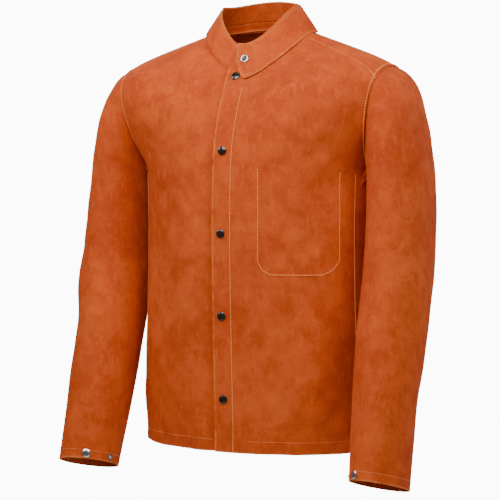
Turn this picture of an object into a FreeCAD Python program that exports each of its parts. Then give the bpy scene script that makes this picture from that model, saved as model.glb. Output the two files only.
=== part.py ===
"""Leather welding jacket: split cowhide shirt jacket with a stand collar, snap front and snap cuffs.

The jacket hangs as it is worn. X runs to the wearer's left, -Y is the front, +Z is up.
The origin is the centre of the neck, level with the shoulder seams where they meet the collar.
Every leather piece is a patch of one of three surfaces: torso, collar or sleeve.
"""

import FreeCAD, Part
import math
import os

os.makedirs("parts", exist_ok=True)

V = FreeCAD.Vector

# ---- driving dimensions, mm and degrees -------------------------------------------------
LEATHER = 1.4            # thickness of the split cowhide
PLY_GAP = 0.15           # air between two plies that are sewn together
LOOSE_GAP = 0.6          # air behind a panel that a facing or a hem hangs behind
SEAM_GAP = 0.4           # air between pieces that butt along a seam

LENGTH = 714.0           # shoulder seam at the collar to the hem
CHEST_DROP = 235.0       # shoulder seam at the collar to the armpit
UPPER_SHARE = 0.42       # share of the s parameter above the armpit

NECK_HALF_WIDTH = 95.0
NECK_FRONT = 87.0
NECK_BACK = 72.0
NECK_FRONT_DROP = 63.0
NECK_BACK_RISE = 12.0

SUPER = 2.2              # exponent of the torso's superellipse sections
#          z below neck, half width, front depth, back depth
LEVELS = [(235.0, 207.0, 140.0, 124.0),
          (345.0, 205.0, 141.0, 122.0),
          (460.0, 207.0, 141.0, 119.0),
          (585.0, 211.0, 143.0, 122.0),
          (714.0, 206.0, 146.0, 128.0)]

SHOULDER_TIP = V(244, 0, -53)
ARMPIT = V(207, 0, -236)

SIDE_SEAM = 72.0         # angle of the side seams, measured from the front centre
FRONT_EDGE = -22.0       # x of the free edge of the left front
SNAP_LINE = -5.0         # x of the line of snaps
PLACKET_STITCH = 12.0    # x of the stitch line that holds the facings
PLACKET_HINGE = 38.0     # x where the left placket starts to fold back
RIGHT_EDGE = 24.0        # x of the free edge of the right front, under the left
FRONT_GAP = 4.1          # room between the two fronts for a closed snap
BOW_SPAN = (0.12, 0.95)   # the stretch of s that bows
PLACKET_BOW = 8.0        # how far the closed placket bows to the wearer's right at mid height
SNAP_DROPS = [77.0, 203.0, 343.0, 483.0, 624.0]
FIXED_SNAPS = 2          # snaps above the fold, which stay closed
PLACKET_SPLIT = 270.0    # drop below which the placket folds back; its top stays shut

CAP_RADIUS = 7.6
CAP_HEIGHT = 2.9
SOCKET_RADIUS = 6.2
SOCKET_BORE = 3.8
SOCKET_HEIGHT = 2.6
STUD_FLANGE_RADIUS = 6.0
STUD_FLANGE = 0.45
STUD_RADIUS = 2.6
STUD_HEIGHT = 2.1
BACK_RADIUS = 5.0
BACK_HEIGHT = 0.9

HEM_DEPTH = 24.0
POCKET_X = (50.0, 182.0)
POCKET_DROP = (228.0, 415.0)
POCKET_CORNER = 22.0
POCKET_GAP = 1.4         # room in the pocket

COLLAR_TOP_HALF_WIDTH = 68.0
COLLAR_TOP_FRONT = 76.0
COLLAR_TOP_BACK = 59.0
COLLAR_TOP = (-21.0, 47.0, 59.0)     # z of the top edge at the front, side and back
COLLAR_LAP = 5.5                     # how far the collar laps down outside the neck seam
LEFT_FRONT_LAP = 25.0                # the same at the front centre of the left half, a free edge
RIGHT_FRONT_LAP = 4.0                # the same at the front centre of the right half
COLLAR_CLEAR = 2.2                   # air between the collar and the torso outside the seam
COLLAR_HINGE = 30.0                  # x where the collar's left end starts to fold back
COLLAR_EDGE = -8.0                   # x of the free end of the left collar
COLLAR_SWEEP = (15.5, 0.62)          # how far that end leans back at its foot, mm by share of height
COLLAR_CORNER = (5.0, 0.14)          # rounding of its lower corner, the same way
COLLAR_SNAP = (8.0, 0.58)            # x and share of the height of the collar's snap

#       inner x, inner z, outer x, outer z, centre y, half depth, tilt of the section
SLEEVE = [(207.0, -236.0, 244.0, -53.0, 0.0, 85.0, 0.0),
          (209.0, -243.0, 274.0, -80.0, -1.0, 90.0, 0.0),
          (209.5, -252.0, 294.0, -125.0, -3.0, 93.0, 0.0),
          (209.5, -275.0, 308.0, -190.0, -6.0, 92.0, 2.0),
          (210.0, -320.0, 319.0, -290.0, -12.0, 90.0, 5.0),
          (210.5, -386.0, 323.0, -374.0, -25.0, 88.0, 9.0),
          (210.5, -450.0, 323.0, -450.0, -43.0, 85.0, 12.0),
          (211.5, -538.0, 320.0, -541.0, -71.0, 80.0, 15.0),
          (215.0, -622.0, 318.0, -626.0, -97.0, 75.0, 16.5),
          (223.0, -750.0, 320.0, -754.0, -136.0, 65.0, 17.0)]
ELBOW = 6                # the section at which the sleeve bends
SLEEVE_SUPER = 2.0
CUFF_SNAP_RISE = 15.0    # cuff edge to the centre of the cuff snaps
CUFF_CAP_ANGLE = 119.0   # sleeve angle of the silver cap
CUFF_STUD_ANGLE = 168.0  # sleeve angle of the stud, so the cuff tightens in a tuck
CUFF_HEM = 24.0


# ---- small maths ------------------------------------------------------------------------
def mix(a, b, t):
    return a * (1.0 - t) + b * t


def power(x, n):
    return math.copysign(abs(x) ** n, x)


def three_way(theta, front, side, back):
    """A value that is front, side and back at those angles, blended by the squares of cosine and sine."""
    c = math.cos(theta)
    end = front if c > 0 else back
    return mix(side, end, c * c)


def hermite(rows, q):
    """Smooth values through rows of numbers, with q running from 0 to len(rows) - 1."""
    k = max(0, min(len(rows) - 2, int(q)))
    t = q - k
    a, b = rows[k], rows[k + 1]
    before = rows[max(k - 1, 0)]
    after = rows[min(k + 2, len(rows) - 1)]
    out = []
    for p0, p1, p2, p3 in zip(before, a, b, after):
        m1, m2 = (p2 - p0) / 2, (p3 - p1) / 2
        out.append((2 * t**3 - 3 * t**2 + 1) * p1 + (t**3 - 2 * t**2 + t) * m1
                   + (3 * t**2 - 2 * t**3) * p2 + (t**3 - t**2) * m2)
    return out


def level_at(drop):
    """Half width, front depth and back depth of the torso at a drop below the neck."""
    drops = [row[0] for row in LEVELS]
    k = 0
    while k < len(drops) - 2 and drop > drops[k + 1]:
        k += 1
    q = k + (drop - drops[k]) / (drops[k + 1] - drops[k])
    return hermite([row[1:] for row in LEVELS], max(0.0, q))


# ---- torso surface ----------------------------------------------------------------------
def neck_ring(theta):
    x = NECK_HALF_WIDTH * math.sin(theta)
    y = -three_way(theta, NECK_FRONT, 0.5 * (NECK_FRONT + NECK_BACK), NECK_BACK) * math.cos(theta)
    z = three_way(theta, -NECK_FRONT_DROP, 0.0, NECK_BACK_RISE)
    return V(x, y, z)


def section_point(theta, half_width, front, back, z):
    x = half_width * power(math.sin(theta), 2 / SUPER)
    c = math.cos(theta)
    depth = front if c > 0 else back
    return V(x, -depth * power(c, 2 / SUPER), z)


def torso(theta, s):
    """Torso surface: theta from the front centre to the wearer's left, s from the neck seam to the hem."""
    if s >= UPPER_SHARE:
        drop = mix(CHEST_DROP, LENGTH, (s - UPPER_SHARE) / (1 - UPPER_SHARE))
        return section_point(theta, *level_at(drop), -drop)
    t = s / UPPER_SHARE
    start = neck_ring(theta)
    end = section_point(theta, *level_at(CHEST_DROP), -CHEST_DROP)
    out = V(math.sin(theta), -math.cos(theta), 0)
    handle_1 = start + out * three_way(theta, 26, 205, 28) + V(0, 0, three_way(theta, -34, -74, -12))
    handle_2 = end + out * three_way(theta, 1, 93, 4) + V(0, 0, three_way(theta, 62, 175, 120))
    return (start * (1 - t)**3 + handle_1 * (3 * t * (1 - t)**2)
            + handle_2 * (3 * t * t * (1 - t)) + end * t**3)


def normal_of(surface, u, v, step=1e-3):
    du = surface(u + step, v) - surface(u - step, v)
    lo, hi = max(v - step, 0.0), min(v + step, 1.0)
    n = du.cross(surface(u, hi) - surface(u, lo))
    n.normalize()
    return n


def theta_at_x(x, s):
    """The angle of the point of the torso's front that has this x."""
    lo, hi = -math.pi / 2, math.pi / 2
    for _ in range(50):
        mid = (lo + hi) / 2
        if torso(mid, s).x < x:
            lo = mid
        else:
            hi = mid
    return (lo + hi) / 2


def s_at_drop(theta, drop):
    lo, hi = 0.0, 1.0
    for _ in range(50):
        mid = (lo + hi) / 2
        if -torso(theta, mid).z < drop:
            lo = mid
        else:
            hi = mid
    return (lo + hi) / 2


TORSO_SIGN = -1.0 if normal_of(torso, 0.0, 0.5).y > 0 else 1.0


def torso_normal(theta, s):
    return normal_of(torso, theta, s) * TORSO_SIGN


# ---- solids from point grids ------------------------------------------------------------
def grid_surface(points):
    surface = Part.BSplineSurface()
    surface.interpolate(points)
    return surface


def thick_patch(outer_points, inner_points):
    """A closed six-sided solid between two grids of points."""
    outer, inner = grid_surface(outer_points), grid_surface(inner_points)
    a0, a1, b0, b1 = outer.bounds()
    c0, c1, d0, d1 = inner.bounds()
    rims = [(outer.uIso(a0), inner.uIso(c0)), (outer.uIso(a1), inner.uIso(c1)),
            (outer.vIso(b0), inner.vIso(d0)), (outer.vIso(b1), inner.vIso(d1))]
    faces = [outer.toShape(), inner.toShape()] + [a.makeRuledSurface(b).toShape() for a, b in rims]
    shell = Part.makeShell(faces)
    shell.sewShape()
    solid = Part.makeSolid(shell)
    if solid.Volume < 0:
        solid.reverse()
    return solid


def patch_of(place, u_count, v_count, outer, inner):
    """A patch from place(u, v) -> (point, outward normal), between two offsets along that normal."""
    outer_rows, inner_rows = [], []
    for i in range(u_count + 1):
        found = [place(i / u_count, j / v_count) for j in range(v_count + 1)]
        outer_rows.append([p + n * outer for p, n in found])
        inner_rows.append([p + n * inner for p, n in found])
    return thick_patch(outer_rows, inner_rows)


def torso_patch(left, right, top, bottom, outer, inner, counts=(12, 18), push=None):
    """A patch of the torso between two angles, each a function of s, and two values of s."""
    def place(u, v):
        s = mix(top, bottom, v)
        theta = mix(left(s), right(s), u)
        p, n = torso(theta, s), torso_normal(theta, s)
        return (p - n * push(p.x) if push else p), n
    return patch_of(place, *counts, outer, inner)


def save(name, *shapes):
    shape = shapes[0] if len(shapes) == 1 else Part.makeCompound(list(shapes))
    shape.exportStep("parts/%s.step" % name)


def mirrored(shape):
    return shape.mirror(V(0, 0, 0), V(1, 0, 0))


def at_x(x):
    return lambda s: theta_at_x(x, s)


def bow(s):
    """The closed placket's bow at s: nothing at its ends, most at mid height."""
    low, high = BOW_SPAN
    return -PLACKET_BOW * math.sin(math.pi * max(0.0, min(1.0, (s - low) / (high - low))))


def at_bowed(x):
    return lambda s: theta_at_x(x + bow(s), s)


def at_angle(degrees):
    return lambda s: math.radians(degrees)


# ---- armhole ----------------------------------------------------------------------------
ARM_CENTRE = (SHOULDER_TIP + ARMPIT) * 0.5
ARM_UP = (SHOULDER_TIP - ARMPIT).normalize()
ARM_OUT = ARM_UP.cross(V(0, -1, 0)) * -1.0
if ARM_OUT.x < 0:
    ARM_OUT = ARM_OUT * -1.0
TOOL = 600.0


def armhole_tool():
    """A half space outside the left armhole's plane, above the armpit."""
    box = Part.makeBox(TOOL, TOOL, TOOL)
    box.translate(V(0, -TOOL / 2, -TOOL / 2))
    box.Placement = FreeCAD.Placement(ARM_CENTRE - ARM_OUT * 0.6, FreeCAD.Rotation(V(1, 0, 0), ARM_OUT)).multiply(
        box.Placement)
    keep_above = Part.makeBox(2 * TOOL, 2 * TOOL, TOOL, V(-TOOL, -TOOL, ARMPIT.z - 0.5))
    return box.common(keep_above)


def armhole_loop():
    """(angle, radius) pairs of the armhole in its plane; angle 0 is the shoulder and 90 the front."""
    found = []
    thetas, steps = 90, 160
    for i in range(thetas + 1):
        theta = mix(0.15, math.pi - 0.15, i / thetas)
        last = None
        for j in range(steps + 1):
            p = torso(theta, UPPER_SHARE * 1.15 * j / steps)
            d = (p - ARM_CENTRE).dot(ARM_OUT)
            if last is not None and (d > 0) != (last[0] > 0):
                share = last[0] / (last[0] - d)
                q = last[1] * (1 - share) + p * share - ARM_CENTRE
                found.append((math.atan2(-q.y, q.dot(ARM_UP)), math.hypot(q.y, q.dot(ARM_UP))))
            last = (d, p)
    return sorted(found)


LOOP = armhole_loop()


def loop_radius(angle):
    angle = (angle + math.pi) % (2 * math.pi) - math.pi
    ring = [(a, r) for a, r in LOOP]
    ring = [(ring[-1][0] - 2 * math.pi, ring[-1][1])] + ring + [(ring[0][0] + 2 * math.pi, ring[0][1])]
    for (a0, r0), (a1, r1) in zip(ring, ring[1:]):
        if a0 <= angle <= a1 and a1 > a0:
            return mix(r0, r1, (angle - a0) / (a1 - a0))
    return ring[0][1]


# ---- sleeve surface ---------------------------------------------------------------------
def sleeve(angle, q):
    """Left sleeve: angle 0 on the outside, 90 at the front, 180 against the torso; q is the section."""
    ix, iz, ox, oz, cy, half_depth, tilt = hermite(SLEEVE, q)
    inner, outer = V(ix, cy, iz), V(ox, cy, oz)
    centre = (inner + outer) * 0.5
    up = outer - inner
    half = up.Length / 2
    up.normalize()
    front = V(0, -math.cos(math.radians(tilt)), math.sin(math.radians(tilt)))
    a = half * power(math.cos(angle), 2 / SLEEVE_SUPER)
    b = half_depth * power(math.sin(angle), 2 / SLEEVE_SUPER)
    if q < 1.0:
        r = loop_radius(angle)
        share = (1 - q) ** 2 * (1 + 2 * q)
        a = mix(a, r * math.cos(angle), share)
        b = mix(b, r * math.sin(angle), share)
    return centre + up * a + front * b


def sleeve_normal(angle, q):
    step = 1e-3
    lo, hi = max(q - step, 0.0), min(q + step, len(SLEEVE) - 1.0)
    n = (sleeve(angle + step, q) - sleeve(angle - step, q)).cross(sleeve(angle, hi) - sleeve(angle, lo))
    n.normalize()
    away = sleeve(angle, q) - (sleeve(0, q) + sleeve(math.pi, q)) * 0.5
    return n if n.dot(away) > 0 else n * -1.0


def sleeve_patch(a0, a1, q0, q1, outer, inner, counts=(12, 10)):
    def place(u, v):
        angle, q = math.radians(mix(a0, a1, u)), mix(q0, q1, v)
        return sleeve(angle, q), sleeve_normal(angle, q)
    return patch_of(place, *counts, outer, inner)


CUFF = len(SLEEVE) - 1.0
FOREARM = 133.0          # length of the last span of the sleeve


def cuff_rise(mm):
    """The value of q that is this far above the cuff's edge."""
    return CUFF - mm / FOREARM


# ---- snaps ------------------------------------------------------------------------------
def cylinder(radius, height, base, axis, lift):
    return Part.makeCylinder(radius, height, base + axis * lift, axis)


def snap_cap(point, out, lift):
    """Domed cap: a shallow ball segment on a short straight rim."""
    rim = cylinder(CAP_RADIUS, 0.8, point, out, lift)
    dome = CAP_HEIGHT - 0.8
    ball = (CAP_RADIUS**2 + dome**2) / (2 * dome)
    sphere = Part.makeSphere(ball, point + out * (lift + CAP_HEIGHT - ball))
    top = sphere.common(cylinder(CAP_RADIUS, CAP_HEIGHT, point, out, lift + 0.8))
    return rim.fuse(top).removeSplitter()


def snap_socket(point, out, lift, extra=0.0):
    """Ring that grips the stud, hanging inward from lift."""
    height = SOCKET_HEIGHT + extra
    ring = cylinder(SOCKET_RADIUS, height, point, out * -1.0, -lift)
    bore = cylinder(SOCKET_BORE, height - 0.5, point, out * -1.0, -lift + 0.5)
    return ring.cut(bore)


def snap_stud(point, out, lift, extra=0.0):
    """Flange and round-headed post, standing outward from lift."""
    flange = cylinder(STUD_FLANGE_RADIUS, STUD_FLANGE, point, out, lift)
    post = cylinder(STUD_RADIUS, STUD_HEIGHT + extra, point, out, lift + STUD_FLANGE)
    head = post.makeFillet(0.8, [post.Edges[0]])
    return flange.fuse(head).removeSplitter()


def snap_back(point, out, lift):
    """Eyelet plate behind a stud, hanging inward from lift."""
    plate = cylinder(BACK_RADIUS, BACK_HEIGHT, point, out * -1.0, -lift)
    hole = cylinder(1.6, BACK_HEIGHT, point, out * -1.0, -lift)
    return plate.cut(hole)


# ---- torso pieces -----------------------------------------------------------------------
SKIN = (0.0, -LEATHER)
SECOND = (-LEATHER - PLY_GAP, -2 * LEATHER - PLY_GAP)
BEHIND = (-LEATHER - LOOSE_GAP, -2 * LEATHER - LOOSE_GAP)
UNDER_DEPTH = 2 * LEATHER + PLY_GAP + FRONT_GAP


def under_push(x):
    """How far the right front is pushed in to lie under the left one."""
    t = max(0.0, min(1.0, (x + 62.0) / 36.0))
    return UNDER_DEPTH * t * t * (3 - 2 * t)


def hem_s(theta=0.0):
    return s_at_drop(theta, LENGTH - HEM_DEPTH)


def make_torso():
    left_tool = armhole_tool()
    right_tool = mirrored(left_tool)
    half = math.degrees(SEAM_GAP / 2 / 205.0)
    back = torso_patch(at_angle(SIDE_SEAM + half), at_angle(360 - SIDE_SEAM - half), 0.0, 1.0, *SKIN,
                       counts=(38, 26))
    save("back_panel", back.cut(left_tool).cut(right_tool))
    left = torso_patch(at_x(PLACKET_HINGE + 1.2), at_angle(SIDE_SEAM - half), 0.0, 1.0, *SKIN,
                       counts=(16, 26))
    save("left_front_panel", left.cut(left_tool))
    right = torso_patch(at_angle(half - SIDE_SEAM), at_x(RIGHT_EDGE), 0.0, 1.0, *SKIN, counts=(28, 26),
                        push=under_push)
    save("right_front_panel", right.cut(right_tool))
    facing_top = 0.05
    split = s_at_drop(theta_at_x(8.0, 0.4), PLACKET_SPLIT)
    gap = 0.0006
    save("right_front_facing", torso_patch(at_x(-19.0), at_x(RIGHT_EDGE - 1), facing_top, 1.0, *BEHIND,
                                           counts=(6, 26), push=under_push))
    strip = at_bowed(FRONT_EDGE), at_x(PLACKET_HINGE)
    facing = at_bowed(FRONT_EDGE + 1), at_bowed(PLACKET_STITCH + 5)
    save("left_placket_top", torso_patch(*strip, 0.0, split - gap, *SKIN, counts=(8, 14)))
    save("left_placket", torso_patch(*strip, split + gap, 1.0, *SKIN, counts=(8, 14)))
    save("left_placket_top_facing", torso_patch(*facing, facing_top, split - gap, *SECOND,
                                                counts=(6, 13)))
    save("left_placket_facing", torso_patch(*facing, split + gap, 1.0, *SECOND, counts=(6, 14)))
    low = hem_s()
    save("back_hem", torso_patch(at_angle(SIDE_SEAM + 2), at_angle(358 - SIDE_SEAM), low, 0.999, *BEHIND,
                                 counts=(36, 3)))
    save("left_front_hem", torso_patch(at_x(PLACKET_HINGE + 2), at_angle(SIDE_SEAM - 2), low, 0.999, *BEHIND,
                                       counts=(16, 3)))
    save("right_front_hem", torso_patch(at_angle(2 - SIDE_SEAM), at_x(-72.0), low, 0.999, *BEHIND,
                                        counts=(16, 3)))


def make_pocket():
    """Inside patch pocket: a flat bag sewn to the back of the left front, open at its top."""
    s0, s1 = (s_at_drop(math.radians(45), d) for d in POCKET_DROP)
    bag = torso_patch(at_x(POCKET_X[0]), at_x(POCKET_X[1]), s0, s1, -LEATHER - POCKET_GAP,
                      -2 * LEATHER - POCKET_GAP, counts=(18, 14))
    for x, sign in ((POCKET_X[0], 1), (POCKET_X[1], -1)):
        corner = Part.makePolygon([V(x - 30 * sign, -300, -POCKET_DROP[1] + POCKET_CORNER + 30),
                                   V(x - 30 * sign, -300, -POCKET_DROP[1] - 30),
                                   V(x + (POCKET_CORNER + 30) * sign, -300, -POCKET_DROP[1] - 30),
                                   V(x - 30 * sign, -300, -POCKET_DROP[1] + POCKET_CORNER + 30)])
        bag = bag.cut(Part.Face(corner).extrude(V(0, 400, 0)))
    save("inner_pocket", bag)


def front_frame(x, drop):
    s = s_at_drop(theta_at_x(x, 0.6), drop)
    theta = theta_at_x(x + bow(s), s)
    return torso(theta, s), torso_normal(theta, s)


def make_front_snaps():
    places = [front_frame(SNAP_LINE, drop) for drop in SNAP_DROPS]
    caps = [snap_cap(point, out, 0.35) for point, out in places]
    sockets = [snap_socket(point, out, -2 * LEATHER - PLY_GAP - 0.35) for point, out in places]
    studs = [snap_stud(point, out, -UNDER_DEPTH + 0.35) for point, out in places]
    backs = [snap_back(point, out, -UNDER_DEPTH - 2 * LEATHER - LOOSE_GAP - 0.35) for point, out in places]
    save("top_snap_caps", *caps[:FIXED_SNAPS])
    save("top_snap_sockets", *sockets[:FIXED_SNAPS])
    save("front_snap_caps", *caps[FIXED_SNAPS:])
    save("front_snap_sockets", *sockets[FIXED_SNAPS:])
    save("front_snap_studs", *studs)
    save("front_snap_stud_backs", *backs)


# ---- collar -----------------------------------------------------------------------------
def collar_top(theta):
    x = COLLAR_TOP_HALF_WIDTH * math.sin(theta)
    y = -three_way(theta, COLLAR_TOP_FRONT, 0.5 * (COLLAR_TOP_FRONT + COLLAR_TOP_BACK),
                   COLLAR_TOP_BACK) * math.cos(theta)
    return V(x, y, three_way(theta, *COLLAR_TOP))


def collar(theta, v, front_lap=LEFT_FRONT_LAP):
    """Collar surface: v 0 at the lapped lower edge, 1 at the top edge."""
    seam = neck_ring(theta)
    slope = torso(theta, 0.06) - seam
    slope.normalize()
    lift = torso_normal(theta, 0.02)
    lap = three_way(theta, front_lap, COLLAR_LAP, COLLAR_LAP)
    low = seam + slope * lap + lift * COLLAR_CLEAR
    knee = seam + lift * (COLLAR_CLEAR + 0.5) + V(0, 0, 6)
    top = collar_top(theta)
    return low * (1 - v)**2 + knee * (2 * v * (1 - v)) + top * v * v


def collar_normal(theta, v):
    n = normal_of(collar, theta, v)
    centre = V(0, -8, collar(theta, v).z)
    return n if n.dot(collar(theta, v) - centre) > 0 else n * -1.0


def collar_angle(x, v):
    lo, hi = -math.pi / 2, math.pi / 2
    for _ in range(50):
        mid = (lo + hi) / 2
        if collar(mid, v).x < x:
            lo = mid
        else:
            hi = mid
    return (lo + hi) / 2


COLLAR_UNDER = 2 * LEATHER + FRONT_GAP


def collar_push(point):
    """How far the right collar is pushed in to lie under the left one; nothing at the back."""
    t = max(0.0, min(1.0, (point.x + 62.0) / 36.0)) if point.y < 0 else 0.0
    return COLLAR_UNDER * t * t * (3 - 2 * t)


def collar_patch(left, right, front_lap, push=None, counts=(16, 6)):
    def place(u, v):
        theta = mix(left(v), right(v), u)
        p, n = collar(theta, v, front_lap), collar_normal(theta, v)
        if push:
            p = p - n * push(p)
        return p, n
    return patch_of(place, *counts, LEATHER, 0.0)


def collar_end_x(v):
    """The free end of the left collar, leaning back at its foot, with a rounded lower corner."""
    (lean, lean_share), (bevel, bevel_share) = COLLAR_SWEEP, COLLAR_CORNER
    t = max(0.0, 1.0 - v / lean_share)
    return COLLAR_EDGE + lean * t * t * (3 - 2 * t) + bevel * max(0.0, 1.0 - v / bevel_share) ** 2


def make_collar():
    half_seam = 0.002
    save("collar_left", collar_patch(lambda v: collar_angle(COLLAR_HINGE + 1.2, v),
                                     lambda v: math.pi - half_seam, LEFT_FRONT_LAP, counts=(20, 8)))
    save("collar_right", collar_patch(lambda v: half_seam - math.pi, lambda v: collar_angle(RIGHT_EDGE, v),
                                      RIGHT_FRONT_LAP, push=collar_push, counts=(30, 8)))
    save("collar_end", collar_patch(lambda v: collar_angle(collar_end_x(v), v),
                                    lambda v: collar_angle(COLLAR_HINGE, v), LEFT_FRONT_LAP,
                                    counts=(8, 12)))
    v = COLLAR_SNAP[1]
    theta = collar_angle(COLLAR_SNAP[0], v)
    point, out = collar(theta, v), collar_normal(theta, v)
    save("collar_snap_cap", snap_cap(point, out, LEATHER + 0.35))
    save("collar_snap_socket", snap_socket(point, out, -0.35, LEATHER))
    save("collar_snap_stud", snap_stud(point, out, LEATHER - COLLAR_UNDER + 0.35, LEATHER))
    save("collar_snap_stud_back", snap_back(point, out, -COLLAR_UNDER - LEATHER - 0.6))


# ---- sleeves ----------------------------------------------------------------------------
def sleeve_tube(q0, q1, offsets, counts, seam=0.15):
    """A length of sleeve as one piece wrapped round the arm and joined by a seam under the arm."""
    return sleeve_patch(180 + seam, 540 - seam, q0, q1, *offsets, counts=counts)


def make_sleeve():
    """Name and solid of each piece of the left sleeve; the right sleeve is its mirror image."""
    start, fold = 0.02, 0.006
    upper = sleeve_tube(start, ELBOW - fold, SKIN, (28, 26))
    lower = sleeve_tube(ELBOW + fold, CUFF, SKIN, (28, 14))
    hem = sleeve_tube(cuff_rise(CUFF_HEM), CUFF - 0.005, SECOND, (26, 2), seam=1.0)
    q = cuff_rise(CUFF_SNAP_RISE)
    cap, stud = math.radians(CUFF_CAP_ANGLE), math.radians(CUFF_STUD_ANGLE)
    cap_point, cap_out = sleeve(cap, q), sleeve_normal(cap, q)
    stud_point, stud_out = sleeve(stud, q), sleeve_normal(stud, q)
    behind = -2 * LEATHER - PLY_GAP - 0.35
    return {"upper_sleeve": upper,
            "lower_sleeve": lower,
            "cuff_hem": hem,
            "cuff_snap_cap": snap_cap(cap_point, cap_out, 0.35),
            "cuff_snap_socket": snap_socket(cap_point, cap_out, behind),
            "cuff_snap_stud": snap_stud(stud_point, stud_out, 0.35),
            "cuff_snap_stud_back": snap_back(stud_point, stud_out, behind)}


def make_sleeves():
    for name, shape in make_sleeve().items():
        save("left_" + name, shape)
        save("right_" + name, mirrored(shape))


make_torso()
make_pocket()
make_front_snaps()
make_collar()
make_sleeves()
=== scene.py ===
"""Leather welding jacket, worn shape: split cowhide suede, stand collar, snap front, snap cuffs.

Every leather piece is a patch of the torso, collar or sleeve surface, in millimetres, and is turned
into a thin slab in metres. X runs to the wearer's left, -Y is the front and +Z is up.
"""

import math

import bmesh
import bpy
import numpy as np
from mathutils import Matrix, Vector


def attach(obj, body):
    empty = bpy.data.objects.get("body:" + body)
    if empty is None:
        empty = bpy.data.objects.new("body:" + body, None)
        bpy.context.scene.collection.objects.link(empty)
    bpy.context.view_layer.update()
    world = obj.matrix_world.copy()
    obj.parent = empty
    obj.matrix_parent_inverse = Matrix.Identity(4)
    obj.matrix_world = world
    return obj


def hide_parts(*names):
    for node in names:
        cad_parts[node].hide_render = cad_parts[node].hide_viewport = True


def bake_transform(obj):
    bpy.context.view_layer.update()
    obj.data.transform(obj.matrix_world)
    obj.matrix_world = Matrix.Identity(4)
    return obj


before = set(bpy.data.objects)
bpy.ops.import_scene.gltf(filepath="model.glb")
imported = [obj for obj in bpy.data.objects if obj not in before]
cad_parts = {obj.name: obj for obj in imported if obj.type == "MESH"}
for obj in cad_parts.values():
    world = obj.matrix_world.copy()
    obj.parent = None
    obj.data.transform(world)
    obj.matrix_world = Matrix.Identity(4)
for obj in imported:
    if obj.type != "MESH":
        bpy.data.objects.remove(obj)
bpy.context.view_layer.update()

# ---- the jacket's dimensions, mm and degrees --------------------------------------------
MM = 0.001
LEATHER = 1.5
EDGE_WEAR = 3.2          # how far in from a cut edge the wear fades
PLY = 1.55               # from one ply's face to the next ply's face
LENGTH = 714.0
CHEST_DROP = 235.0
UPPER_SHARE = 0.42
NECK_HALF_WIDTH = 95.0
NECK_FRONT, NECK_BACK = 87.0, 72.0
NECK_FRONT_DROP, NECK_BACK_RISE = 63.0, 12.0
SUPER = 2.2
LEVEL_DROPS = np.array([235.0, 345.0, 460.0, 585.0, 714.0])
# half width, depth in front and depth behind, at each of those drops
LEVELS = np.array([(207.0, 140.0, 124.0), (205.0, 141.0, 122.0), (207.0, 141.0, 119.0),
                   (211.0, 143.0, 122.0), (206.0, 146.0, 128.0)])
SHOULDER_TIP = np.array([244.0, 0.0, -53.0])
ARMPIT = np.array([207.0, 0.0, -236.0])
SIDE_SEAM = 72.0
FRONT_EDGE = -22.0
SNAP_LINE = -5.0
PLACKET_STITCH = 12.0
PLACKET_HINGE = 38.6
RIGHT_EDGE = 24.0
UNDER_DEPTH = 7.05
CREASE_REACH = 0.085     # share of the height over which the crease at the chest is eased out
PLACKET_BOW, BOW_SPAN = 8.0, (0.12, 0.95)
SNAP_DROPS = [77.0, 203.0, 343.0, 483.0, 624.0]
FIXED_SNAPS = 2
HEM_DEPTH = 24.0
POCKET_X = (50.0, 182.0)
POCKET_DROP = (228.0, 415.0)
POCKET_CORNER = 22.0
POCKET_DEPTH = 2.6
COLLAR_TOP_HALF_WIDTH = 68.0
COLLAR_TOP_FRONT, COLLAR_TOP_BACK = 76.0, 59.0
COLLAR_TOP = (-21.0, 47.0, 59.0)
COLLAR_LAP, LEFT_FRONT_LAP, RIGHT_FRONT_LAP = 5.5, 25.0, 4.0
COLLAR_CLEAR = 2.2
COLLAR_EDGE = -8.0
COLLAR_MIDDLE = -8.0     # y of the middle of the neck
COLLAR_LIFT = 1.5        # from the collar's middle surface to its outer face
COLLAR_SWEEP = (15.5, 0.62)
COLLAR_CORNER = (5.0, 0.14)
COLLAR_SNAP = (8.0, 0.58)
COLLAR_UNDER = 6.9
# inner x and z, outer x and z, y, half depth and tilt in degrees, from the armhole to the cuff
SLEEVE = np.array([(207.0, -236.0, 244.0, -53.0, 0.0, 85.0, 0.0),
                   (209.0, -243.0, 274.0, -80.0, -1.0, 90.0, 0.0),
                   (209.5, -252.0, 294.0, -125.0, -3.0, 93.0, 0.0),
                   (209.5, -275.0, 308.0, -190.0, -6.0, 92.0, 2.0),
                   (210.0, -320.0, 319.0, -290.0, -12.0, 90.0, 5.0),
                   (210.5, -386.0, 323.0, -374.0, -25.0, 88.0, 9.0),
                   (210.5, -450.0, 323.0, -450.0, -43.0, 85.0, 12.0),
                   (211.5, -538.0, 320.0, -541.0, -71.0, 80.0, 15.0),
                   (215.0, -622.0, 318.0, -626.0, -97.0, 75.0, 16.5),
                   (223.0, -750.0, 320.0, -754.0, -136.0, 65.0, 17.0)])
CUFF = len(SLEEVE) - 1.0
FOREARM = 133.0
SLEEVE_CUT = 5.15        # where the upper and lower sleeve meshes meet, above the elbow
CUFF_CAP_ANGLE = 119.0
CUFF_SNAP_RISE, CUFF_HEM = 15.0, 24.0
CHEST_RADII = (205.0, 130.0)     # rough half width and half depth of the torso


# ---- small maths, on arrays -------------------------------------------------------------
def mix(a, b, t):
    return a * (1.0 - t) + b * t


def power(x, n):
    return np.sign(x) * np.abs(x) ** n


def ease(t):
    t = np.clip(t, 0.0, 1.0)
    return t * t * (3.0 - 2.0 * t)


def unit(v):
    return v / np.maximum(np.linalg.norm(v, axis=-1, keepdims=True), 1e-9)


def three_way(theta, front, side, back):
    c = np.cos(theta)
    return mix(side, np.where(c > 0, front, back), c * c)


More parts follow.
